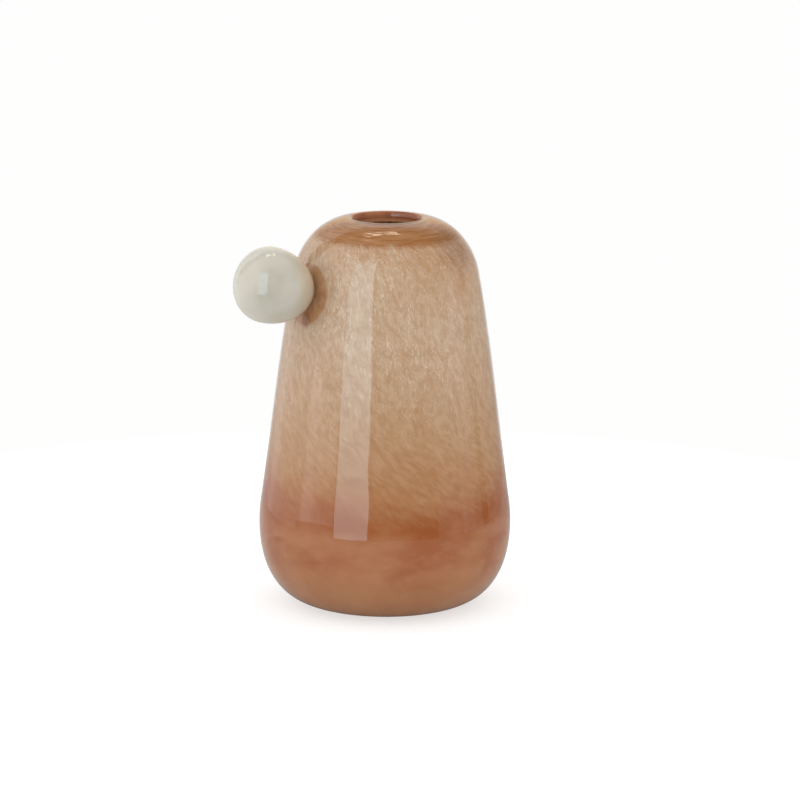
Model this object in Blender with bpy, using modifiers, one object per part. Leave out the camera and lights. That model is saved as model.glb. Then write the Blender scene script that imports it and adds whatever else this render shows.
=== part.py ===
"""Glass bud vase: a soft blown body in three fused glass layers, with a solid
opal ball on one shoulder.

Frame: metres, +Z up. The origin is the centre of the flat ground base, on the
body's axis. The ball stands out on the -X side, in the XZ plane.
"""
import math

import bmesh
import bpy
from mathutils import Matrix, Vector

NAME = "glass_bud_vase"

# ---- driving dimensions, metres -------------------------------------------
HEIGHT = 0.2000          # base to lip crest
BASE_R = 0.0330          # flat ground disc that the vase stands on
BASE_PULL = 0.0300       # how far the rounded foot swells out level
BELLY_R = 0.0640         # radius where the rounded foot meets the side
BELLY_Z = 0.0536
BELLY_LEAN = 0.1437      # inward lean of the side there (run over rise)
BELLY_PULL = 0.0213
SHOULDER_R = 0.0473      # radius where the side meets the shoulder
SHOULDER_Z = 0.1720
SHOULDER_LEAN = 0.1871
SHOULDER_PULL = 0.450    # share of the shoulder's chord
LIP_PULL = 0.295
LIP_R = 0.0189           # circle of the lip's crest
MOUTH_R = 0.0170         # clear radius of the mouth
LIP_DROP = 0.0028        # height of the rounded inner edge of the lip
THROAT_ROUND = 0.0015    # rounding from the throat to the inside of the shoulder

CASING_T = 0.0024        # clear outer gather
CASING_BASE_T = 0.0040
WALL_T = 0.0058          # all layers together, on the side
WALL_BASE_T = 0.0090     # all layers together, under the inside floor
FLOOR_BLEND = 0.0300     # height over which the base thickness fades out
STREAK_T = 0.0008        # pale streaked band between casing and core
STREAK_LOW = (0.0400, 0.0560)     # the band feathers in between these heights
STREAK_HIGH = (0.1900, 0.1960)    # and out again under the lip
STREAK_EDGE = 0.0002     # thinnest edge of the band
LAYER_GAP = 0.0003       # clearance between neighbouring glass layers
LIP_SPLIT_Z = 0.1965     # underside of the casing's hook over the lip

BALL_R = 0.0194          # across the ball
BALL_OUT = 0.0168        # centre to the far end
BALL_IN = 0.0250         # centre to the (buried) end of its taper
BALL_POS = (-0.0699, 0.0, 0.1716)
BALL_RISE = math.radians(17.4)    # its axis points out and up by this much

STEPS = 40               # facets round the body
N_FOOT, N_SIDE, N_SHOULDER = 9, 5, 8
N_LIP, N_THROAT = 4, 3
BALL_SEGMENTS, BALL_RINGS = 28, 18


# ---- curves ---------------------------------------------------------------
def bezier(p0, p1, p2, p3, n):
    """n + 1 points (r, z) along a cubic from p0 to p3."""
    pts = []
    for i in range(n + 1):
        t = i / n
        u = 1.0 - t
        a, b, c, d = u ** 3, 3 * u * u * t, 3 * u * t * t, t ** 3
        pts.append(tuple(a * p0[k] + b * p1[k] + c * p2[k] + d * p3[k] for k in (0, 1)))
    return pts


def unit(x, y):
    h = math.hypot(x, y)
    return x / h, y / h


def smooth(lo, hi, x):
    t = min(1.0, max(0.0, (x - lo) / (hi - lo)))
    return t * t * (3.0 - 2.0 * t)


def outer_curve():
    """The outer wall from the axis of the base up to the lip's crest."""
    up1 = unit(-BELLY_LEAN, 1.0)
    up2 = unit(-SHOULDER_LEAN, 1.0)
    belly = (BELLY_R, BELLY_Z)
    shoulder = (SHOULDER_R, SHOULDER_Z)
    run = math.hypot(BELLY_R - SHOULDER_R, SHOULDER_Z - BELLY_Z) / 3.0
    chord = math.hypot(SHOULDER_R - LIP_R, HEIGHT - SHOULDER_Z)
    foot = bezier((BASE_R, 0.0), (BASE_R + BASE_PULL, 0.0),
                  (BELLY_R - up1[0] * BELLY_PULL, BELLY_Z - up1[1] * BELLY_PULL),
                  belly, N_FOOT)
    side = bezier(belly, (BELLY_R + up1[0] * run, BELLY_Z + up1[1] * run),
                  (SHOULDER_R - up2[0] * run, SHOULDER_Z - up2[1] * run),
                  shoulder, N_SIDE)
    top = bezier(shoulder,
                 (SHOULDER_R + up2[0] * SHOULDER_PULL * chord,
                  SHOULDER_Z + up2[1] * SHOULDER_PULL * chord),
                 (LIP_R + LIP_PULL * chord, HEIGHT),
                 (LIP_R, HEIGHT), N_SHOULDER)
    return [(0.0, 0.0)] + foot + side[1:] + top[1:]


def inward_normals(pts):
    """Unit normals into the glass, square to the curve at each point."""
    out = []
    for i, p in enumerate(pts):
        a = pts[max(i - 1, 0)]
        b = pts[min(i + 1, len(pts) - 1)]
        if i <= 1 or i == len(pts) - 1:      # flat base, and the level crest
            out.append((0.0, 1.0 if i <= 1 else -1.0))
            continue
        tx, tz = unit(b[0] - a[0], b[1] - a[1])
        out.append((-tz, tx))
    return out


OUTER = outer_curve()
NORMALS = inward_normals(OUTER)


def base_extra(z, extra):
    """The added thickness under the floor, fading out up the side."""
    return extra * (1.0 - smooth(0.0, FLOOR_BLEND, z))


def casing_depth(z):
    return CASING_T + base_extra(z, CASING_BASE_T - CASING_T)


def band_share(z):
    """1 where the streaked band has its full thickness, 0 where there is none."""
    return smooth(*STREAK_LOW, z) * (1.0 - smooth(*STREAK_HIGH, z))


def core_depth(z):
    return casing_depth(z) + LAYER_GAP + band_share(z) * (STREAK_T + LAYER_GAP)


def wall_depth(z):
    return WALL_T + base_extra(z, WALL_BASE_T - WALL_T)


def inset(depth):
    """The outer curve moved into the glass by depth(height)."""
    return [(p[0] + n[0] * depth(p[1]), p[1] + n[1] * depth(p[1]))
            for p, n in zip(OUTER, NORMALS)]


def cut_level(pts, z_top, r_end):
    """The curve up to z_top, then level at z_top in to r_end."""
    out = []
    for a, b in zip(pts, pts[1:]):
        out.append(a)
        if b[1] >= z_top:
            t = (z_top - a[1]) / (b[1] - a[1])
            out.append((a[0] + t * (b[0] - a[0]), z_top))
            break
    out.append((r_end, z_top))
    return out


# ---- objects --------------------------------------------------------------
def collection(name):
    c = bpy.data.collections.get(name) or bpy.data.collections.new(name)
    if c.name not in bpy.context.scene.collection.children:
        bpy.context.scene.collection.children.link(c)
    return c


def glass(name, rgb, roughness, transmission, alpha=1.0):
    m = bpy.data.materials.new(name)
    m.use_nodes = True
    b = m.node_tree.nodes["Principled BSDF"]
    b.inputs["Base Color"].default_value = (*rgb, 1.0)
    b.inputs["Roughness"].default_value = roughness
    b.inputs["Metallic"].default_value = 0.0
    b.inputs["IOR"].default_value = 1.5
    b.inputs["Transmission Weight"].default_value = transmission
    b.inputs["Alpha"].default_value = alpha
    m.diffuse_color = (*rgb, alpha)
    return m


def turned(name, pts, col, mat=None, steps=STEPS):
    """A turned solid: its profile runs up the inside, over the top and down
    the outside, and a Screw modifier spins it round Z."""
    me = bpy.data.meshes.new(name)
    bm = bmesh.new()
    verts = [bm.verts.new((r, 0.0, z)) for r, z in pts]
    for a, b in zip(verts, verts[1:]):
        bm.edges.new((a, b))
    bm.to_mesh(me)
    bm.free()
    ob = bpy.data.objects.new(name, me)
    col.objects.link(ob)
    s = ob.modifiers.new("turn", "SCREW")
    s.axis = "Z"
    s.angle = 2.0 * math.pi
    s.steps = steps
    s.render_steps = steps
    s.use_merge_vertices = True
    s.merge_threshold = 0.00002
    s.use_smooth_shade = True
    if mat:
        me.materials.append(mat)
    return ob


def egg(name, col, mat):
    """The ball: round on its outer half, drawn out to a short taper on the
    half that was pressed on to the shoulder. Its own +Z points outwards."""
    me = bpy.data.meshes.new(name)
    bm = bmesh.new()
    bmesh.ops.create_uvsphere(bm, u_segments=BALL_SEGMENTS, v_segments=BALL_RINGS, radius=1.0)
    for v in bm.verts:
        v.co.x *= BALL_R
        v.co.y *= BALL_R
        v.co.z *= BALL_OUT if v.co.z > 0.0 else BALL_IN
    bm.to_mesh(me)
    bm.free()
    me.materials.append(mat)
    me.shade_smooth()
    me.set_sharp_from_angle(angle=math.radians(40))
    ob = bpy.data.objects.new(name, me)
    axis = Vector((-math.cos(BALL_RISE), 0.0, math.sin(BALL_RISE)))
    ob.rotation_euler = axis.to_track_quat("Z", "Y").to_euler()
    ob.location = BALL_POS
    col.objects.link(ob)
    return ob


def main():
    for ob in list(bpy.data.objects):
        bpy.data.objects.remove(ob, do_unlink=True)

    parts = collection(NAME)
    cutters = collection(NAME + "_cutters")

    root = bpy.data.objects.new(NAME + "_root", None)
    parts.objects.link(root)

    # Clear outer gather: cup shaped, hooked over the lip down to the throat.
    inside = cut_level(inset(casing_depth), LIP_SPLIT_Z, MOUTH_R)
    lip = []
    for i in range(N_LIP + 1):
        a = math.pi / 2.0 * i / N_LIP
        lip.append((LIP_R - (LIP_R - MOUTH_R) * math.cos(a),
                    HEIGHT - LIP_DROP + LIP_DROP * math.sin(a)))
    casing = turned("clear_casing", inside + lip + OUTER[-2::-1], parts,
                    glass("clear_glass", (0.90, 0.80, 0.70), 0.03, 1.0, 0.35))

    # Pale streaked band, feathered at both edges.
    face = inset(lambda z: casing_depth(z) + LAYER_GAP)
    back = inset(lambda z: core_depth(z) - LAYER_GAP)
    keep = [i for i, p in enumerate(OUTER)
            if (core_depth(p[1]) - casing_depth(p[1]) - 2.0 * LAYER_GAP) > STREAK_EDGE
            and p[1] > STREAK_LOW[0]]
    ring = [back[i] for i in keep] + [face[i] for i in reversed(keep)]
    band = turned("streaked_overlay", ring + ring[:1], parts,
                  glass("streaked_glass", (0.60, 0.42, 0.29), 0.25, 0.2))

    # Rust-brown core bubble: the wall of the cavity and of the throat.
    ceiling = HEIGHT - WALL_T
    hollow = [p for p in inset(wall_depth)
              if p[0] > MOUTH_R + THROAT_ROUND or p[1] < ceiling / 2.0]
    throat = []
    for i in range(N_THROAT + 1):
        a = math.pi / 2.0 * i / N_THROAT
        throat.append((MOUTH_R + THROAT_ROUND * (1.0 - math.sin(a)),
                       ceiling + THROAT_ROUND * (1.0 - math.cos(a))))
    outside = cut_level(inset(core_depth), LIP_SPLIT_Z - LAYER_GAP, MOUTH_R)
    core = turned("rust_core", hollow + throat + outside[::-1], parts,
                  glass("rust_glass", (0.33, 0.13, 0.055), 0.08, 0.4))

    # Opal ball, seated on the shoulder: the body's own shape is cut from it.
    ball = egg("opal_ball", parts, glass("opal_glass", (0.56, 0.51, 0.43), 0.06, 0.1))
    seat = [(p[0] - n[0] * LAYER_GAP, p[1] - n[1] * LAYER_GAP) for p, n in zip(OUTER, NORMALS)]
    seat[-1] = (0.0, seat[-1][1])
    cutter = turned("ball_seat_cutter", seat[::-1], cutters)
    cutter.hide_render = True
    cutter.display_type = "WIRE"
    cut = ball.modifiers.new("seat", "BOOLEAN")
    cut.operation = "DIFFERENCE"
    cut.solver = "EXACT"
    cut.object = cutter

    for ob in (casing, band, core, ball):
        ob.parent = root


main()
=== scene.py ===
import math

import bmesh
import bpy
import numpy as np
from mathutils import Matrix, Vector


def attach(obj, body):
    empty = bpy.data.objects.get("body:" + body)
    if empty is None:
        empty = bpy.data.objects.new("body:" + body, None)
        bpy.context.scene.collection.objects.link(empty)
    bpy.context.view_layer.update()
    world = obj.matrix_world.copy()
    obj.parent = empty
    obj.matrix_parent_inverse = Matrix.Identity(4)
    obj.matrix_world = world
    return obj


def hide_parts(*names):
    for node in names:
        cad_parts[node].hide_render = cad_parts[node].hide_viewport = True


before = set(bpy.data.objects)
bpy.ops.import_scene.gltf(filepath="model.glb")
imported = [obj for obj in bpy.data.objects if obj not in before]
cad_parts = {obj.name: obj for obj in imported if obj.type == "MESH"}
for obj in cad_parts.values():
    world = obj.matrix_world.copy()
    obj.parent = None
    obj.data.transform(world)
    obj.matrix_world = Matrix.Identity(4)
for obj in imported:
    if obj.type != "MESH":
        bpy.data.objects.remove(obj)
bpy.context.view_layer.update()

# ---------------------------------------------------------------- dimensions
# The same driving dimensions as the solids, in metres.
HEIGHT = 0.2000
BASE_R, BASE_PULL = 0.0330, 0.0300
BELLY_R, BELLY_Z, BELLY_LEAN, BELLY_PULL = 0.0640, 0.0536, 0.1437, 0.0213
SHOULDER_R, SHOULDER_Z, SHOULDER_LEAN = 0.0473, 0.1720, 0.1871
SHOULDER_PULL, LIP_PULL = 0.450, 0.295
LIP_R, MOUTH_R, LIP_DROP, THROAT_ROUND = 0.0189, 0.0170, 0.0028, 0.0015
CASING_T, CASING_BASE_T = 0.0024, 0.0040
WALL_T, WALL_BASE_T, FLOOR_BLEND = 0.0058, 0.0090, 0.0300
STREAK_T = 0.0008
LIP_SPLIT_Z = 0.1965
BALL_R, BALL_OUT, BALL_IN = 0.0194, 0.0168, 0.0250
BALL_POS = Vector((-0.0699, 0.0, 0.1716))
BALL_RISE = math.radians(17.4)
SEAT = 0.00004            # how far fused layers reach into each other
STEPS = 180
FIT = 0.99883               # the smooth turned wall kept within the outline of the faceted part

NAME = "glass_bud_vase_looks"
col = bpy.data.collections.new(NAME)
bpy.context.scene.collection.children.link(col)


# ---------------------------------------------------------------- curves
def bezier(p0, p1, p2, p3, n):
    t = np.linspace(0.0, 1.0, n + 1)[:, None]
    p0, p1, p2, p3 = (np.array(p, float) for p in (p0, p1, p2, p3))
    return (1 - t) ** 3 * p0 + 3 * (1 - t) ** 2 * t * p1 + 3 * (1 - t) * t * t * p2 + t ** 3 * p3


def unit(x, y):
    h = math.hypot(x, y)
    return x / h, y / h


def outer_curve(n_flat=6, n_foot=34, n_side=34, n_top=34):
    up1, up2 = unit(-BELLY_LEAN, 1.0), unit(-SHOULDER_LEAN, 1.0)
    run = math.hypot(BELLY_R - SHOULDER_R, SHOULDER_Z - BELLY_Z) / 3.0
    chord = math.hypot(SHOULDER_R - LIP_R, HEIGHT - SHOULDER_Z)
    flat = np.column_stack([np.linspace(0.0, BASE_R, n_flat + 1), np.zeros(n_flat + 1)])
    foot = bezier((BASE_R, 0.0), (BASE_R + BASE_PULL, 0.0),
                  (BELLY_R - up1[0] * BELLY_PULL, BELLY_Z - up1[1] * BELLY_PULL),
                  (BELLY_R, BELLY_Z), n_foot)
    side = bezier((BELLY_R, BELLY_Z), (BELLY_R + up1[0] * run, BELLY_Z + up1[1] * run),
                  (SHOULDER_R - up2[0] * run, SHOULDER_Z - up2[1] * run),
                  (SHOULDER_R, SHOULDER_Z), n_side)
    top = bezier((SHOULDER_R, SHOULDER_Z),
                 (SHOULDER_R + up2[0] * SHOULDER_PULL * chord, SHOULDER_Z + up2[1] * SHOULDER_PULL * chord),
                 (LIP_R + LIP_PULL * chord, HEIGHT), (LIP_R, HEIGHT), n_top)
    return np.vstack([flat, foot[1:], side[1:], top[1:]])


OUTER = outer_curve()
_t = np.gradient(OUTER, axis=0)
_t /= np.linalg.norm(_t, axis=1)[:, None]
NORMALS = np.column_stack([-_t[:, 1], _t[:, 0]])
NORMALS[OUTER[:, 1] <= 0.0] = (0.0, 1.0)
NORMALS[-1] = (0.0, -1.0)


def smooth(lo, hi, x):
    t = np.clip((x - lo) / (hi - lo), 0.0, 1.0)
    return t * t * (3.0 - 2.0 * t)


def inset(side, base):
    """The outer curve moved into the glass: by side up the wall, by base under the floor."""
    d = side + (base - side) * (1.0 - smooth(0.0, FLOOR_BLEND, OUTER[:, 1]))
    return OUTER + NORMALS * d[:, None]


def cut_level(pts, z_top, r_end, n=4):
    i = int(np.argmax(pts[:, 1] >= z_top))
    a, b = pts[i - 1], pts[i]
    c = a + (b - a) * (z_top - a[1]) / (b[1] - a[1])
    level = np.column_stack([np.linspace(c[0], r_end, n + 1), np.full(n + 1, z_top)])
    return np.vstack([pts[:i], level])


def turned(name, pts, material, close=False, steps=STEPS):
    """A closed solid of revolution from a profile that starts and ends on the axis,
    or from a ring-shaped profile when close is set."""
    bm = bmesh.new()
    rings = []
    for r, z in pts:
        r *= FIT
        if r < 1e-7:
            rings.append([bm.verts.new((0.0, 0.0, z))])
        else:
            rings.append([bm.verts.new((r * math.cos(2 * math.pi * k / steps),
                                        r * math.sin(2 * math.pi * k / steps), z)) for k in range(steps)])
    pairs = list(zip(rings, rings[1:]))
    if close:
        pairs.append((rings[-1], rings[0]))
    for a, b in pairs:
        for k in range(steps):
            j = (k + 1) % steps
            if len(a) == 1 and len(b) == 1:
                continue
            if len(a) == 1:
                bm.faces.new((a[0], b[k], b[j]))
            elif len(b) == 1:
                bm.faces.new((a[k], b[0], a[j]))
            else:
                bm.faces.new((a[k], b[k], b[j], a[j]))
    bmesh.ops.recalc_face_normals(bm, faces=bm.faces)
    me = bpy.data.meshes.new(name)
    bm.to_mesh(me)
    bm.free()
    me.materials.append(material)
    me.shade_smooth()
    me.set_sharp_from_angle(angle=math.radians(50))
    ob = bpy.data.objects.new(name, me)
    col.objects.link(ob)
    return ob


# ---------------------------------------------------------------- node helpers
class Tree:
    """Small helper for building node materials."""

    def __init__(self, tree):
        self.t = tree
        self.n = tree.nodes
        self.l = tree.links

    def add(self, kind, **props):
        node = self.n.new(kind)
        for k, v in props.items():
            setattr(node, k, v)
        return node

    def put(self, socket, value):
        if isinstance(value, bpy.types.NodeSocket):
            self.l.new(value, socket)
        elif value is not None:
            socket.default_value = value

    def math(self, op, a, b=None, c=None, clamp=False):
        m = self.add("ShaderNodeMath", operation=op, use_clamp=clamp)
        for s, v in zip(m.inputs, (a, b, c)):
            self.put(s, v)
        return m.outputs[0]

    def vmath(self, op, a, b=None):
        m = self.add("ShaderNodeVectorMath", operation=op)
        for s, v in zip(m.inputs, (a, b)):
            self.put(s, v)
        return m.outputs[0]

    def distance(self, a, b):
        m = self.add("ShaderNodeVectorMath", operation="DISTANCE")
        self.put(m.inputs[0], a)
        self.put(m.inputs[1], b)
        return m.outputs["Value"]

    def ramp(self, x, lo, hi, a=0.0, b=1.0, kind="SMOOTHSTEP"):
        m = self.add("ShaderNodeMapRange", interpolation_type=kind)
        self.put(m.inputs["Value"], x)
        self.put(m.inputs["From Min"], lo)
        self.put(m.inputs["From Max"], hi)
        self.put(m.inputs["To Min"], a)
        self.put(m.inputs["To Max"], b)
        return m.outputs[0]

    def mix(self, fac, a, b, mode="MIX"):
        m = self.add("ShaderNodeMix", data_type="RGBA", blend_type=mode)
        self.put(m.inputs[0], fac)
        self.put(m.inputs[6], a)
        self.put(m.inputs[7], b)
        return m.outputs[2]

    def fmix(self, fac, a, b):
        m = self.add("ShaderNodeMix", data_type="FLOAT")
        self.put(m.inputs[0], fac)
        self.put(m.inputs[2], a)
        self.put(m.inputs[3], b)
        return m.outputs[0]

    def noise(self, vec, scale, detail=2.0, rough=0.5, distortion=0.0, lac=2.0):
        m = self.add("ShaderNodeTexNoise", noise_dimensions="3D")
        self.put(m.inputs["Vector"], vec)
        m.inputs["Scale"].default_value = scale
        m.inputs["Detail"].default_value = detail
        m.inputs["Roughness"].default_value = rough
        m.inputs["Lacunarity"].default_value = lac
        m.inputs["Distortion"].default_value = distortion
        return m.outputs["Fac"]

    def xyz(self, v):
        m = self.add("ShaderNodeSeparateXYZ")
        self.put(m.inputs[0], v)
        return m.outputs[0], m.outputs[1], m.outputs[2]

    def vec(self, x, y, z):
        m = self.add("ShaderNodeCombineXYZ")
        for s, v in zip(m.inputs, (x, y, z)):
            self.put(s, v)
        return m.outputs[0]


def srgb(r, g, b):
    """A colour given as 0-255 display values."""
    f = lambda c: (c / 255 / 12.92) if c / 255 <= 0.04045 else ((c / 255 + 0.055) / 1.055) ** 2.4
    return (f(r), f(g), f(b), 1.0)


TAN_A, TAN_B = srgb(214, 182, 150), srgb(226, 200, 170)
TAN_LOW_A, TAN_LOW_B = srgb(204, 157, 113), srgb(211, 167, 123)
AMBER, AMBER_LOW = srgb(206, 158, 114), srgb(190, 132, 84)
PALE, PALE_LOW = srgb(250, 238, 220), srgb(236, 206, 170)
CROWN_A, CROWN_B, CROWN_PALE = srgb(180, 126, 80), srgb(198, 148, 104), srgb(220, 178, 138)
RUST_A, RUST_B, RUST_C, RUST_LOW = srgb(188, 116, 70), srgb(204, 142, 98), srgb(216, 160, 118), srgb(204, 148, 104)
RUST_DEEP = srgb(178, 100, 52)
INSIDE_A, INSIDE_B = srgb(136, 82, 56), srgb(156, 102, 72)
INSIDE_PAINTED_LIGHT, LIP_PAINTED_HIGHLIGHT = srgb(236, 178, 130), srgb(214, 172, 136)
OPAL_A, OPAL_B = srgb(175, 172, 160), srgb(184, 180, 168)
CREASE_SHADE_SPOT, RIGHT_SHOULDER_SHADE = (-0.0502, -0.0030, 0.1522), (0.0137, -0.0404, 0.1860)
BALL_SHADOW_CENTRE, SHOULDER_SHADE_PATCH = (-0.0500, 0.0, 0.1650), (0.0205, -0.0345, 0.1890)
EDGE_SHIFT = (3.0, 11.0, 5.0)


def material(name):
    m = bpy.data.materials.new(name)
    m.use_nodes = True
    t = Tree(m.node_tree)
    return m, t, m.node_tree.nodes["Principled BSDF"]


def wall_colour(t):
    """The colour of the glass by place: short pale fibres drawn down the wall in
    brown glass, over a cloudy rust-brown foot."""
    pos = t.add("ShaderNodeTexCoord").outputs["Object"]
    x, y, z = t.xyz(pos)
    zm = t.math("MULTIPLY", z, 1000.0)                      # millimetres from here on
    rad = t.math("SQRT", t.math("ADD", t.math("MULTIPLY", x, x), t.math("MULTIPLY", y, y)))
    rad = t.math("MAXIMUM", rad, 0.001)
    cx = t.math("MULTIPLY", t.math("DIVIDE", x, rad), 54.0)  # round the wall, as on a 54 mm cylinder
    cy = t.math("MULTIPLY", t.math("DIVIDE", y, rad), 54.0)
    radm = t.math("MULTIPLY", rad, 1000.0)
    # distance along the wall: height, then the way in over the shoulder
    over = t.math("MULTIPLY", t.math("SUBTRACT", 46.0, radm), t.ramp(zm, 170.0, 185.0))
    along = t.math("ADD", zm, t.math("MAXIMUM", over, 0.0))
    ring = t.vec(cx, cy, along)
    # the fibres lean: a little over the upper wall, more towards the foot
    lean = t.math("MULTIPLY", along, 0.0046)
    lean = t.math("ADD", lean, t.math("MULTIPLY", t.math("MINIMUM", t.math("SUBTRACT", along, 98.0), 0.0), 0.010))
    lean = t.math("ADD", lean, t.math("MULTIPLY", t.math("MAXIMUM", t.math("SUBTRACT", along, 182.0), 0.0), 0.003))
    drift = t.noise(t.vmath("MULTIPLY", ring, (0.028, 0.028, 0.020)), 1.0, 1.0, 0.4)
    lean = t.math("ADD", lean, t.math("MULTIPLY", t.math("SUBTRACT", drift, 0.5), 0.30))

    def flow(extra, shift):
        rot = t.add("ShaderNodeVectorRotate", rotation_type="Z_AXIS")
        t.put(rot.inputs["Vector"], ring)
        t.put(rot.inputs["Angle"], t.math("ADD", lean, t.math("MULTIPLY", along, extra)))
        return t.vmath("ADD", rot.outputs[0], shift)

    fa = flow(0.0, (0.0, 0.0, 0.0))
    fb = flow(0.0035, (31.0, 7.0, 3.0))
    fc = flow(-0.0030, (13.0, 57.0, 21.0))
    fine_a = t.noise(t.vmath("MULTIPLY", fa, (1.85, 1.85, 0.42)), 1.0, 2.0, 0.55)
    fine_b = t.noise(t.vmath("MULTIPLY", fb, (2.10, 2.10, 0.52)), 1.0, 2.0, 0.60)
    fine_c = t.noise(t.vmath("MULTIPLY", fc, (1.25, 1.25, 0.22)), 1.0, 2.0, 0.55)
    speck = t.noise(t.vmath("MULTIPLY", fc, (1.30, 1.30, 0.80)), 1.0, 1.0, 0.5)
    mottle = t.noise(t.vmath("MULTIPLY", fa, (0.30, 0.30, 0.22)), 1.0, 2.0, 0.5)
    clump = t.noise(t.vmath("MULTIPLY", fb, (0.15, 0.15, 0.085)), 1.0, 2.0, 0.5)
    clump2 = t.noise(t.vmath("MULTIPLY", t.vmath("ADD", fa, (9.0, 2.0, 66.0)), (0.17, 0.17, 0.09)), 1.0, 2.0, 0.5)
    patch = t.noise(t.vmath("MULTIPLY", t.vmath("ADD", ring, (5.0, 71.0, 9.0)), (0.040, 0.040, 0.026)), 1.0, 2.0, 0.5)
    show_a = t.ramp(clump, 0.36, 0.64, 0.15, 1.0)
    show_b = t.ramp(clump2, 0.36, 0.64, 0.10, 1.0)
    show_c = t.ramp(clump2, 0.40, 0.62, 1.0, 0.25)
    white = t.math("ADD", t.math("MULTIPLY", t.ramp(fine_a, 0.50, 0.70), show_a),
                   t.math("MULTIPLY", t.ramp(speck, 0.60, 0.74), 0.45))
    white = t.math("ADD", white, t.math("MULTIPLY", t.math("MULTIPLY", t.ramp(fine_c, 0.54, 0.70), show_c), 0.60))
    white = t.math("MULTIPLY", white, t.ramp(patch, 0.32, 0.62, 0.75, 1.15))
    white = t.math("MULTIPLY", white, t.ramp(zm, 58.0, 105.0, 0.45, 1.0))
    amber = t.math("ADD", t.math("MULTIPLY", t.ramp(fine_b, 0.52, 0.70), show_b),
                   t.math("MULTIPLY", t.ramp(clump2, 0.52, 0.70), 0.45))

    # the streaked zone thins out towards the foot along an uneven, slanting edge
    edge = t.noise(t.vmath("MULTIPLY", t.vmath("ADD", ring, EDGE_SHIFT), (0.030, 0.030, 0.030)), 1.0, 2.0, 0.5)
    rough = t.math("MULTIPLY", t.math("SUBTRACT", mottle, 0.5), 16.0)
    rough = t.math("ADD", rough, t.math("MULTIPLY", t.math("SUBTRACT", fine_a, 0.5), 8.0))
    height = t.math("ADD", t.math("ADD", zm, t.math("MULTIPLY", t.math("SUBTRACT", edge, 0.5), 40.0)), rough)
    share = t.ramp(height, 52.0, 84.0)                       # 0 in the foot, 1 in the streaked glass
    warm = t.ramp(zm, 62.0, 150.0)                           # the tan under the fibres deepens downwards
    top = t.math("ADD", zm, t.math("MULTIPLY", t.math("SUBTRACT", mottle, 0.5), 4.0))
    top = t.ramp(t.math("ADD", top, t.math("MULTIPLY", t.math("SUBTRACT", clump, 0.5), 2.0)), 188.2, 191.4)

    def shade(dark, light, f=mottle):
        return t.mix(t.ramp(f, 0.34, 0.66), dark, light)

    streaked = t.mix(warm, shade(TAN_LOW_A, TAN_LOW_B), shade(TAN_A, TAN_B))
    strand = t.noise(t.vmath("MULTIPLY", fa, (0.55, 0.55, 0.07)), 1.0, 3.0, 0.6)
    collar = t.math("MULTIPLY", t.ramp(along, 176.0, 190.0), t.ramp(strand, 0.42, 0.60))
    # painted shade: more amber brown is mixed in near the right shoulder, darkening it
    side = t.ramp(t.math("MULTIPLY", t.distance(pos, RIGHT_SHOULDER_SHADE), 1000.0), 8.0, 38.0, 1.0, 0.0)
    amber = t.math("ADD", t.math("ADD", amber, collar), side)
    amber = t.math("MULTIPLY", amber, t.ramp(zm, 58.0, 105.0, 0.5, 1.0))
    streaked = t.mix(t.math("MULTIPLY", amber, 0.46, clamp=True), streaked, t.mix(warm, AMBER_LOW, AMBER))
    amount = t.math("MULTIPLY", white, t.math("ADD", t.math("MULTIPLY", warm, 0.36), 0.30), clamp=True)
    streaked = t.mix(amount, streaked, t.mix(warm, PALE_LOW, PALE))
    # over the crown the threads run round the mouth
    swirl = t.noise(t.vmath("MULTIPLY", t.vmath("ADD", ring, (2.0, 8.0, 0.0)), (0.055, 0.055, 0.70)), 1.0, 3.0, 0.6, 0.3)
    crown = t.mix(t.ramp(swirl, 0.36, 0.64), CROWN_A, CROWN_B)
    crown = t.mix(t.math("MULTIPLY", t.ramp(swirl, 0.58, 0.74), 0.6), crown, CROWN_PALE)
    streaked = t.mix(top, streaked, crown)
    # painted highlight: a paler ring on the lip's crest stands in for the bright line along the lip's edge
    lip = t.math("MULTIPLY", t.ramp(radm, 20.2, 19.0), t.ramp(zm, 192.0, 195.0))
    streaked = t.mix(lip, streaked, LIP_PAINTED_HIGHLIGHT)

    cloud = t.noise(t.vmath("MULTIPLY", ring, (0.040, 0.040, 0.055)), 1.0, 3.0, 0.5, 0.5)
    cloud2 = t.noise(t.vmath("MULTIPLY", t.vmath("ADD", ring, (17.0, 3.0, 40.0)), (0.13, 0.13, 0.17)), 1.0, 3.0, 0.55)
    rust = t.mix(t.ramp(cloud, 0.34, 0.66), RUST_A, RUST_B)
    rust = t.mix(t.math("MULTIPLY", t.ramp(cloud2, 0.42, 0.75), 0.30), rust, RUST_C)
    rust = t.mix(t.math("MULTIPLY", t.ramp(fine_a, 0.5, 0.8), 0.10), rust, RUST_C)
    deep = t.math("MULTIPLY", t.ramp(zm, 42.0, 52.0), t.ramp(zm, 58.0, 68.0, 1.0, 0.0))
    rust = t.mix(t.math("MULTIPLY", deep, 0.45), rust, RUST_DEEP)
    low = t.ramp(zm, 12.0, 34.0, 1.0, 0.0)
    rust = t.mix(t.math("MULTIPLY", low, 0.6), rust, RUST_LOW)
    whole = t.mix(share, rust, streaked)
    # a patch of deeper brown, fitted by colour: without it this shoulder came out too light
    # painted shade: this patch darkens the colour of the shoulder
    shoulder_shade_dist = t.math("MULTIPLY", t.distance(pos, SHOULDER_SHADE_PATCH), 1000.0)
    whole = t.mix(t.ramp(shoulder_shade_dist, 5.0, 20.0, 1.0, 0.0), whole, (0.80, 0.78, 0.80, 1.0), "MULTIPLY")
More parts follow.
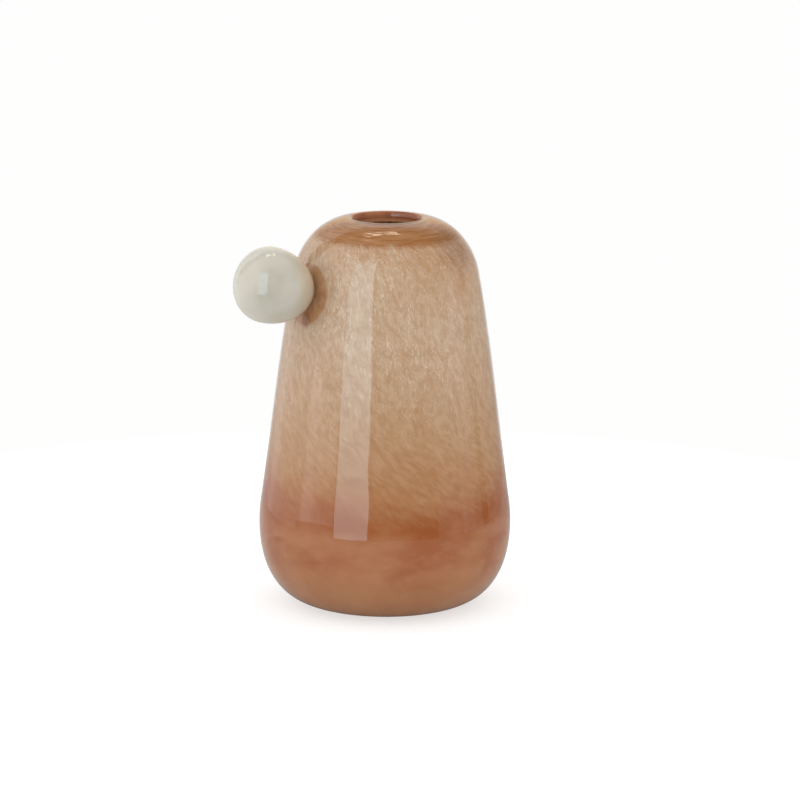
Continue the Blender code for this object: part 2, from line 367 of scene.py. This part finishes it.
    # painted shadow: round the ball's joint the wall colour is darker and browner, standing in for the shadow the ball
    # casts on the wall
    away = t.math("MULTIPLY", t.distance(pos, BALL_SHADOW_CENTRE), 1000.0)
    whole = t.mix(t.ramp(away, 15.2, 16.8, 1.0, 0.0), whole, (0.87, 0.66, 0.50, 1.0), "MULTIPLY")
    # painted shade: a small darker spot in the crease below the ball's joint
    under = t.math("MULTIPLY", t.distance(pos, CREASE_SHADE_SPOT), 1000.0)
    return t.mix(t.ramp(under, 3.0, 5.5, 1.0, 0.0), whole, (0.72, 0.58, 0.52, 1.0), "MULTIPLY")


def colour_layer(name):
    """A coloured layer inside the clear gather: it has no surface gloss of its own."""
    m, t, b = material(name)
    t.put(b.inputs["Base Color"], wall_colour(t))
    b.inputs["Roughness"].default_value = 0.7
    b.inputs["Specular IOR Level"].default_value = 0.0
    return m


def inside_glass(name):
    """The wall of the cavity: bare rust-brown glass, glossy and unstreaked."""
    m, t, b = material(name)
    pos = t.add("ShaderNodeTexCoord").outputs["Object"]
    mm = t.vmath("MULTIPLY", pos, (1000.0, 1000.0, 1000.0))
    n = t.noise(t.vmath("MULTIPLY", mm, (0.10, 0.10, 0.045)), 1.0, 3.0, 0.5, 0.4)
    inside = t.mix(t.ramp(n, 0.35, 0.65), INSIDE_A, INSIDE_B)
    px, py, pz = t.xyz(mm)
    # painted light: lower in the cavity the lining turns a paler orange
    t.put(b.inputs["Base Color"], t.mix(t.ramp(pz, 193.0, 197.5, 1.0, 0.0), inside, INSIDE_PAINTED_LIGHT))
    b.inputs["Roughness"].default_value = 0.5
    b.inputs["Specular IOR Level"].default_value = 0.0
    b.inputs["Coat Weight"].default_value = 1.0
    b.inputs["Coat Roughness"].default_value = 0.03
    b.inputs["Coat IOR"].default_value = 1.5
    return m


def clear_glass(name):
    m, t, b = material(name)
    b.inputs["Base Color"].default_value = (1.0, 1.0, 1.0, 1.0)
    b.inputs["Roughness"].default_value = 0.0
    b.inputs["IOR"].default_value = 1.5
    b.inputs["Transmission Weight"].default_value = 1.0
    # the hand-blown surface is not quite even
    pos = t.add("ShaderNodeTexCoord").outputs["Object"]
    n = t.noise(t.vmath("MULTIPLY", pos, (60.0, 60.0, 34.0)), 1.0, 2.0, 0.4)
    bump = t.add("ShaderNodeBump")
    bump.inputs["Strength"].default_value = 1.0
    bump.inputs["Distance"].default_value = 0.00022
    t.put(bump.inputs["Height"], n)
    t.put(b.inputs["Normal"], bump.outputs[0])
    return m


def second_material(ob, mat, test):
    """Gives the faces whose centre passes the test the object's second material."""
    ob.data.materials.append(mat)
    for p in ob.data.polygons:
        if test(p.center, p.normal):
            p.material_index = 1


BAND_LOW, BAND_HIGH = (0.0400, 0.0560), (0.1880, 0.1950)
band_share = smooth(*BAND_LOW, OUTER[:, 1]) * (1.0 - smooth(*BAND_HIGH, OUTER[:, 1]))


def deeper(extra):
    """The coloured core's outer face, lowered by extra(per point) where the band lies on it."""
    d = CASING_T + (CASING_BASE_T - CASING_T) * (1.0 - smooth(0.0, FLOOR_BLEND, OUTER[:, 1])) + extra
    return OUTER + NORMALS * d[:, None]


def build_glass():
    ceiling = HEIGHT - WALL_T
    a = np.linspace(0.0, math.pi / 2, 13)
    throat = np.column_stack([MOUTH_R + THROAT_ROUND * (1 - np.sin(a)), ceiling + THROAT_ROUND * (1 - np.cos(a))])
    lip = np.column_stack([LIP_R - (LIP_R - MOUTH_R) * np.cos(a), HEIGHT - LIP_DROP + LIP_DROP * np.sin(a)])
    inner = inset(WALL_T, WALL_BASE_T)
    inner = inner[(inner[:, 0] > MOUTH_R + THROAT_ROUND) | (inner[:, 1] < 0.1)]

    shell_in = cut_level(inset(CASING_T + SEAT, CASING_BASE_T + SEAT), LIP_SPLIT_Z - SEAT, MOUTH_R)
    casing = turned("casing_glass", np.vstack([shell_in, lip, OUTER[-2::-1]]), clear_glass("clear_casing_glass"))

    lining = inside_glass("rust_inside_glass")
    second_material(casing, lining, lambda c, n: (n.x * c.x + n.y * c.y < 0 and c.z > LIP_SPLIT_Z
                                                    and math.hypot(c.x, c.y) < LIP_R))
    core_out = cut_level(deeper(band_share * STREAK_T), LIP_SPLIT_Z, MOUTH_R)
    core = turned("core_glass", np.vstack([inner, throat, core_out[::-1]]), colour_layer("rust_core_glass"))
    hollow = {tuple(np.round(p, 6)) for p in inner}
    wall_r = lambda z: np.interp(z, inner[:, 1], inner[:, 0])

    def faces_cavity(c, n):
        r = math.hypot(c.x, c.y)
        if c.z > ceiling - 0.0002 and r < MOUTH_R + THROAT_ROUND + 0.0012:
            return True
        towards = n.x * c.x + n.y * c.y < 0 or (c.z < 0.0125 and n.z > 0.5)
        return towards and c.z < LIP_SPLIT_Z - 0.0003
    second_material(core, lining, faces_cavity)

    k = np.where(band_share > 0.004)[0]
    face = deeper(np.full(len(OUTER), -0.00002))[k]
    back = deeper(band_share * STREAK_T + SEAT)[k]
    band = turned("streaked_band", np.vstack([back, face[::-1]]), colour_layer("streaked_band_glass"), close=True)

    for ob, node, slot in ((casing, "clear_casing", "clear_glass"), (core, "rust_core", "rust_glass"),
                           (band, "streaked_overlay", "streaked_glass")):
        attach(ob, "root")
        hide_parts(node)


build_glass()


# ---------------------------------------------------------------- ball
def seat_distance(p):
    """Distance of a point outside the body's outer wall (negative inside)."""
    q = np.array((math.hypot(p[0], p[1]), p[2]))
    a, b = OUTER[:-1], OUTER[1:]
    ab = b - a
    t = np.clip(((q - a) * ab).sum(1) / (ab * ab).sum(1), 0, 1)
    near = a + ab * t[:, None]
    d = np.linalg.norm(q - near, axis=1)
    i = int(d.argmin())
    n = NORMALS[i]
    sign = -1.0 if (q - near[i]) @ n > 0 else 1.0
    return sign * d[i]


def make_ball():
    m, t, b = material("opal_ball_glass")
    pos = t.add("ShaderNodeTexCoord").outputs["Object"]
    p = t.vmath("MULTIPLY", pos, (1000.0, 1000.0, 1000.0))
    n = t.noise(t.vmath("MULTIPLY", p, (0.05, 0.05, 0.05)), 1.0, 3.0, 0.5, 0.4)
    opal = t.mix(t.ramp(n, 0.35, 0.65), OPAL_A, OPAL_B)
    # painted shade and bounce light: towards the joint the opal colour is darker and browner, as the brown body shades
    # and lights it there
    bx, by, bz = t.xyz(pos)
    warm = t.ramp(bx, -0.0680, -0.0520)
    t.put(b.inputs["Base Color"], t.mix(warm, opal, (0.90, 0.76, 0.62, 1.0), "MULTIPLY"))
    b.inputs["Roughness"].default_value = 0.6
    b.inputs["Specular IOR Level"].default_value = 0.0
    b.inputs["Subsurface Weight"].default_value = 0.6
    b.inputs["Subsurface Radius"].default_value = (1.0, 0.8, 0.6)
    b.inputs["Subsurface Scale"].default_value = 0.004
    b.inputs["Coat Weight"].default_value = 1.0
    b.inputs["Coat Roughness"].default_value = 0.0
    b.inputs["Coat IOR"].default_value = 1.5
    axis = Vector((-math.cos(BALL_RISE), 0.0, math.sin(BALL_RISE)))
    rot = axis.to_track_quat("Z", "Y").to_matrix()
    bm = bmesh.new()
    seg, ring = 128, 96
    rows = []
    for i in range(ring + 1):
        f = math.pi * i / ring
        c, s = math.cos(f), math.sin(f)
        zc = (BALL_OUT - 0.00006) * c if c > 0 else BALL_IN * c
        row = []
        for k in range(seg):
            th = 2 * math.pi * k / seg
            v = Vector(((BALL_R - 0.00005) * s * math.cos(th), (BALL_R - 0.00005) * s * math.sin(th), zc))
            w = rot @ v + BALL_POS
            row.append((v, w, seat_distance(w)))
            if s < 1e-9:
                break
        rows.append(row)
    verts = []
    for row in rows:
        out = []
        for v, w, d in row:
            if d < 0.0010:        # small concave fillet where the ball is fused on
                push = 0.0006 * ((0.0010 - max(d, -0.0004)) / 0.0014) ** 2
                h = math.hypot(v.x, v.y)
                if h > 1e-9:
                    v = Vector((v.x * (1 + push / h), v.y * (1 + push / h), v.z))
                    w = rot @ v + BALL_POS
            out.append(bm.verts.new(w))
        verts.append(out)
    for a_, b_ in zip(verts, verts[1:]):
        for k in range(seg):
            j = (k + 1) % seg
            if len(a_) == 1:
                bm.faces.new((a_[0], b_[k], b_[j]))
            elif len(b_) == 1:
                bm.faces.new((a_[k], b_[0], a_[j]))
            else:
                bm.faces.new((a_[k], b_[k], b_[j], a_[j]))
    bmesh.ops.recalc_face_normals(bm, faces=bm.faces)
    me = bpy.data.meshes.new("opal_ball_glass")
    bm.to_mesh(me)
    bm.free()
    me.materials.append(m)
    me.shade_smooth()
    ob = bpy.data.objects.new("ball_opal", me)
    col.objects.link(ob)
    return ob


ball = make_ball()
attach(ball, "root")
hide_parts("opal_ball")


# ---------------------------------------------------------------- stage
def build_stage():
    bm = bmesh.new()
    bmesh.ops.create_circle(bm, cap_ends=True, segments=128, radius=0.40)
    me = bpy.data.meshes.new("floor")
    bm.to_mesh(me)
    bm.free()
    floor = bpy.data.objects.new("floor", me)
    floor.location.z = -0.0002
    bpy.context.scene.collection.objects.link(floor)
    m, t, b = material("floor_matte")
    b.inputs["Base Color"].default_value = (0.40, 0.40, 0.397, 1.0)
    b.inputs["Roughness"].default_value = 0.9
    b.inputs["Specular IOR Level"].default_value = 0.0
    b.inputs["Emission Color"].default_value = (1, 1, 1, 1)
    b.inputs["Emission Strength"].default_value = 0.62
    # seen in the glass and lighting it from below, the floor is a duller grey than it looks directly
    lp = t.add("ShaderNodeLightPath")
    pos = t.add("ShaderNodeTexCoord").outputs["Object"]
    # painted contact shadow: the light the floor gives off fades near the base
    away = t.distance(pos, (0.0, 0.0, 0.0))
    bounced = t.add("ShaderNodeEmission")
    t.put(bounced.inputs["Strength"], t.ramp(away, 0.030, 0.090, 0.55, 1.02))
    mirrored = t.add("ShaderNodeEmission")
    fx, fy, fz = t.xyz(pos)
    # painted light: the floor's mirrored light is brighter towards the left
    leftward = t.math("SUBTRACT", t.math("MULTIPLY", fy, 0.53), t.math("MULTIPLY", fx, 0.848))
    t.put(mirrored.inputs["Strength"], t.math("MULTIPLY", t.ramp(away, 0.033, 0.070, 0.10, 1.0),
                                              t.ramp(leftward, 0.0, 0.16, 0.50, 0.66)))
    grey = t.add("ShaderNodeMixShader")
    t.put(grey.inputs[0], t.math("MULTIPLY", lp.outputs["Is Glossy Ray"],
                                 t.math("SUBTRACT", 1.0, lp.outputs["Is Transmission Ray"])))
    t.l.new(bounced.outputs[0], grey.inputs[1])
    t.l.new(mirrored.outputs[0], grey.inputs[2])
    mx = t.add("ShaderNodeMixShader")
    out = t.n["Material Output"]
    t.l.new(lp.outputs["Is Camera Ray"], mx.inputs[0])
    t.l.new(grey.outputs[0], mx.inputs[1])
    t.l.new(b.outputs[0], mx.inputs[2])
    t.l.new(mx.outputs[0], out.inputs["Surface"])
    me.materials.append(m)


build_stage()
YAW_ROW = math.radians(-32.0)       # the row frame against the camera's own heading


FILL = 1.3


def build_world():
    w = bpy.data.worlds.new("studio")
    bpy.context.scene.world = w
    w.use_nodes = True
    t = Tree(w.node_tree)
    for n in list(t.n):
        t.n.remove(n)
    out = t.add("ShaderNodeOutputWorld")
    d = t.add("ShaderNodeTexCoord").outputs["Generated"]
    rot = t.add("ShaderNodeVectorRotate", rotation_type="Z_AXIS")
    t.put(rot.inputs["Vector"], d)
    rot.inputs["Angle"].default_value = -YAW_ROW
    x, y, z = t.xyz(rot.outputs[0])
    az = t.math("DEGREES", t.math("ARCTAN2", x, t.math("MULTIPLY", y, -1.0)))
    el = t.math("DEGREES", t.math("ARCSINE", z))

    def span(v, lo, hi, soft_lo=0.6, soft_hi=0.6):
        return t.math("MULTIPLY", t.ramp(v, lo - soft_lo, lo + soft_lo), t.ramp(v, hi - soft_hi, hi + soft_hi, 1.0, 0.0))

    # a pale board stands behind: its left end is brightest, and dark gaps show past its ends and top
    by = t.math("MAXIMUM", y, 0.02)
    bx, bz = t.math("DIVIDE", x, by), t.math("DIVIDE", z, by)
    board = t.math("MULTIPLY", t.math("MULTIPLY", span(bx, -1.235, 2.75, 0.03, 0.08), t.ramp(bz, 1.42, 1.56, 1.0, 0.0)),
                   t.ramp(y, 0.03, 0.06))
    board_light = t.ramp(bx, -1.2, -0.1, 1.05, 0.33)
    middle = span(bx, -0.35, 0.35, 0.25, 0.25)
    shaded = t.math("MULTIPLY", t.ramp(bx, 0.5, 0.9), t.ramp(el, 6.0, 18.0))
    board_light = t.math("MULTIPLY", board_light, t.math("SUBTRACT", 1.0, t.math("MULTIPLY", shaded, 0.65)))
    board_light = t.math("ADD", board_light, t.math("MULTIPLY", middle, t.ramp(el, 39.0, 47.0, 0.5, 0.0)))
    left_end = t.math("ADD", t.ramp(el, 4.0, 26.0, -123.5, -112.0), t.ramp(el, -4.2, -2.6, -8.0, 0.0))
    left = t.math("MULTIPLY", t.math("MULTIPLY", t.ramp(t.math("SUBTRACT", az, left_end), -1.0, 1.0),
                                     t.ramp(az, -73.5, -70.5, 1.0, 0.0)), 0.95)
    jamb = t.math("MULTIPLY", span(az, -72.0, -48.0, 1.0, 0.5), t.ramp(el, 0.8, 3.6, 0.55, 1.45))
    jamb = t.math("MULTIPLY", jamb, t.math("SUBTRACT", 1.0, t.math("MULTIPLY", span(az, -62.0, -59.5, 0.6, 0.6), 0.5)))
    # a bright sill below, cut off by a slanting edge
    edge = t.math("SUBTRACT", el, t.math("ADD", t.math("MULTIPLY", t.math("ADD", az, 42.0), 0.075), -0.3))
    sill = t.math("MULTIPLY", span(az, -84.0, -48.0, 3.0, 0.5), t.math("MULTIPLY", t.ramp(el, 1.2, -0.8), 1.0))
    jamb = t.math("ADD", jamb, t.math("MULTIPLY", sill, 0.85))
    cut = t.math("MAXIMUM", t.ramp(edge, -0.25, 0.25, 0.35, 1.0), t.ramp(az, -92.0, -84.0, 1.0, 0.0))
    left = t.math("MULTIPLY", left, cut)
    jamb = t.math("MULTIPLY", jamb, cut)
    right = t.math("MULTIPLY", span(az, 50.0, 101.0, 0.4, 1.0), 0.42)
    strip = t.math("MULTIPLY", span(az, 77.0, 91.0, 2.0, 2.0), 0.32)
    right = t.math("MULTIPLY", t.math("ADD", right, strip), t.ramp(el, 5.0, 18.0, 1.0, 0.05))
    grey = t.math("ADD", t.math("ADD", left, jamb), right)
    grey = t.math("MULTIPLY", grey, t.ramp(el, 44.0, 60.0, 1.0, 0.25))
    grey = t.math("ADD", t.math("MULTIPLY", grey, t.math("SUBTRACT", 1.0, board)), t.math("MULTIPLY", board, board_light))
    grey = t.math("ADD", grey, 0.04)
    # a warmer patch of the board, set so that the ring round the mouth doesn't mirror a blue-grey
    warmer = t.math("MULTIPLY", span(bx, -0.35, 0.35, 0.25, 0.25), t.math("MULTIPLY", span(el, 8.0, 23.0, 3.0, 3.0), t.ramp(y, 0.03, 0.06)))
    side = t.mix(warmer, t.vec(grey, grey, grey), (1.28, 1.04, 0.76, 1.0), "MULTIPLY")
    window = t.math("MULTIPLY", span(az, -47.0, -15.6, 0.6, 0.3), span(el, -14.0, 46.0, 1.0, 9.0))
    total = t.mix(window, side, (2.2, 2.8, 3.05, 1.0))
    # a few small lamps overhead, seen as broken glints on the shoulder
    glint = t.noise(t.vmath("MULTIPLY", rot.outputs[0], (9.0, 30.0, 9.0)), 1.0, 2.0, 0.6)
    lamps = t.math("MULTIPLY", span(x, -0.26, 0.14, 0.03, 0.05), span(el, 62.0, 73.0, 1.5, 1.5))
    lamps = t.math("MULTIPLY", t.math("MULTIPLY", lamps, t.ramp(y, 0.05, 0.12)), t.ramp(glint, 0.50, 0.57))
    total = t.mix(lamps, total, (7.5, 6.8, 5.2, 1.0))
    # below the horizon, past the edge of the table
    total = t.mix(t.ramp(el, -40.0, -14.0, 1.0, 0.0), total, (0.30, 0.30, 0.30, 1.0))
    mirror = t.add("ShaderNodeBackground")
    t.put(mirror.inputs["Color"], total)
    side_light = t.ramp(x, -1.0, 1.0, 1.08, 0.92, "LINEAR")
    fill = t.math("MULTIPLY", t.math("MULTIPLY", t.ramp(z, -0.3, 1.0, 1.0, 1.06, "LINEAR"), side_light), FILL)
    soft = t.add("ShaderNodeBackground")
    t.put(soft.inputs["Color"], t.vec(fill, fill, fill))
    lp = t.add("ShaderNodeLightPath")
    bounce = t.add("ShaderNodeMixShader")
    # surface reflections see the studio; light reaching the colour through the clear glass is the soft fill
    t.put(bounce.inputs[0], t.math("MULTIPLY", lp.outputs["Is Glossy Ray"],
                                   t.math("SUBTRACT", 1.0, lp.outputs["Is Transmission Ray"])))
    t.l.new(soft.outputs[0], bounce.inputs[1])
    t.l.new(mirror.outputs[0], bounce.inputs[2])
    white = t.add("ShaderNodeBackground")
    white.inputs["Color"].default_value = (0.99, 0.99, 0.985, 1.0)
    mixer = t.add("ShaderNodeMixShader")
    t.l.new(lp.outputs["Is Camera Ray"], mixer.inputs[0])
    t.l.new(bounce.outputs[0], mixer.inputs[1])
    t.l.new(white.outputs[0], mixer.inputs[2])
    t.l.new(mixer.outputs[0], out.inputs["Surface"])
    w.cycles.sampling_method = "MANUAL"
    w.cycles.sample_map_resolution = 1024


build_world()

# ---------------------------------------------------------------- camera
CAM_D, CAM_H = 2.0, 0.53741
PITCH, YAW, ROLL, FOCAL = 0.21295, 0.0037, 0.00714, 3986.5
cam_data = bpy.data.cameras.new("camera")
cam = bpy.data.objects.new("camera", cam_data)
bpy.context.scene.collection.objects.link(cam)
cam_data.sensor_width = 36.0
cam_data.lens = FOCAL * 36.0 / 800.0
cam_data.clip_start, cam_data.clip_end = 0.05, 50.0
fwd = Vector((math.sin(YAW) * math.cos(PITCH), math.cos(YAW) * math.cos(PITCH), -math.sin(PITCH)))
right = Vector((math.cos(YAW), -math.sin(YAW), 0.0))
up = right.cross(fwd)
r2 = right * math.cos(ROLL) + up * math.sin(ROLL)
u2 = up * math.cos(ROLL) - right * math.sin(ROLL)
basis = Matrix((r2, u2, -fwd)).transposed()
turn = Matrix.Rotation(YAW_ROW, 3, "Z")
cam.matrix_world = Matrix.Translation(turn @ Vector((0.0, -CAM_D, CAM_H))) @ (turn @ basis).to_4x4()
scene = bpy.context.scene
scene.camera = cam
scene.view_settings.view_transform = "Standard"
scene.view_settings.look = "None"
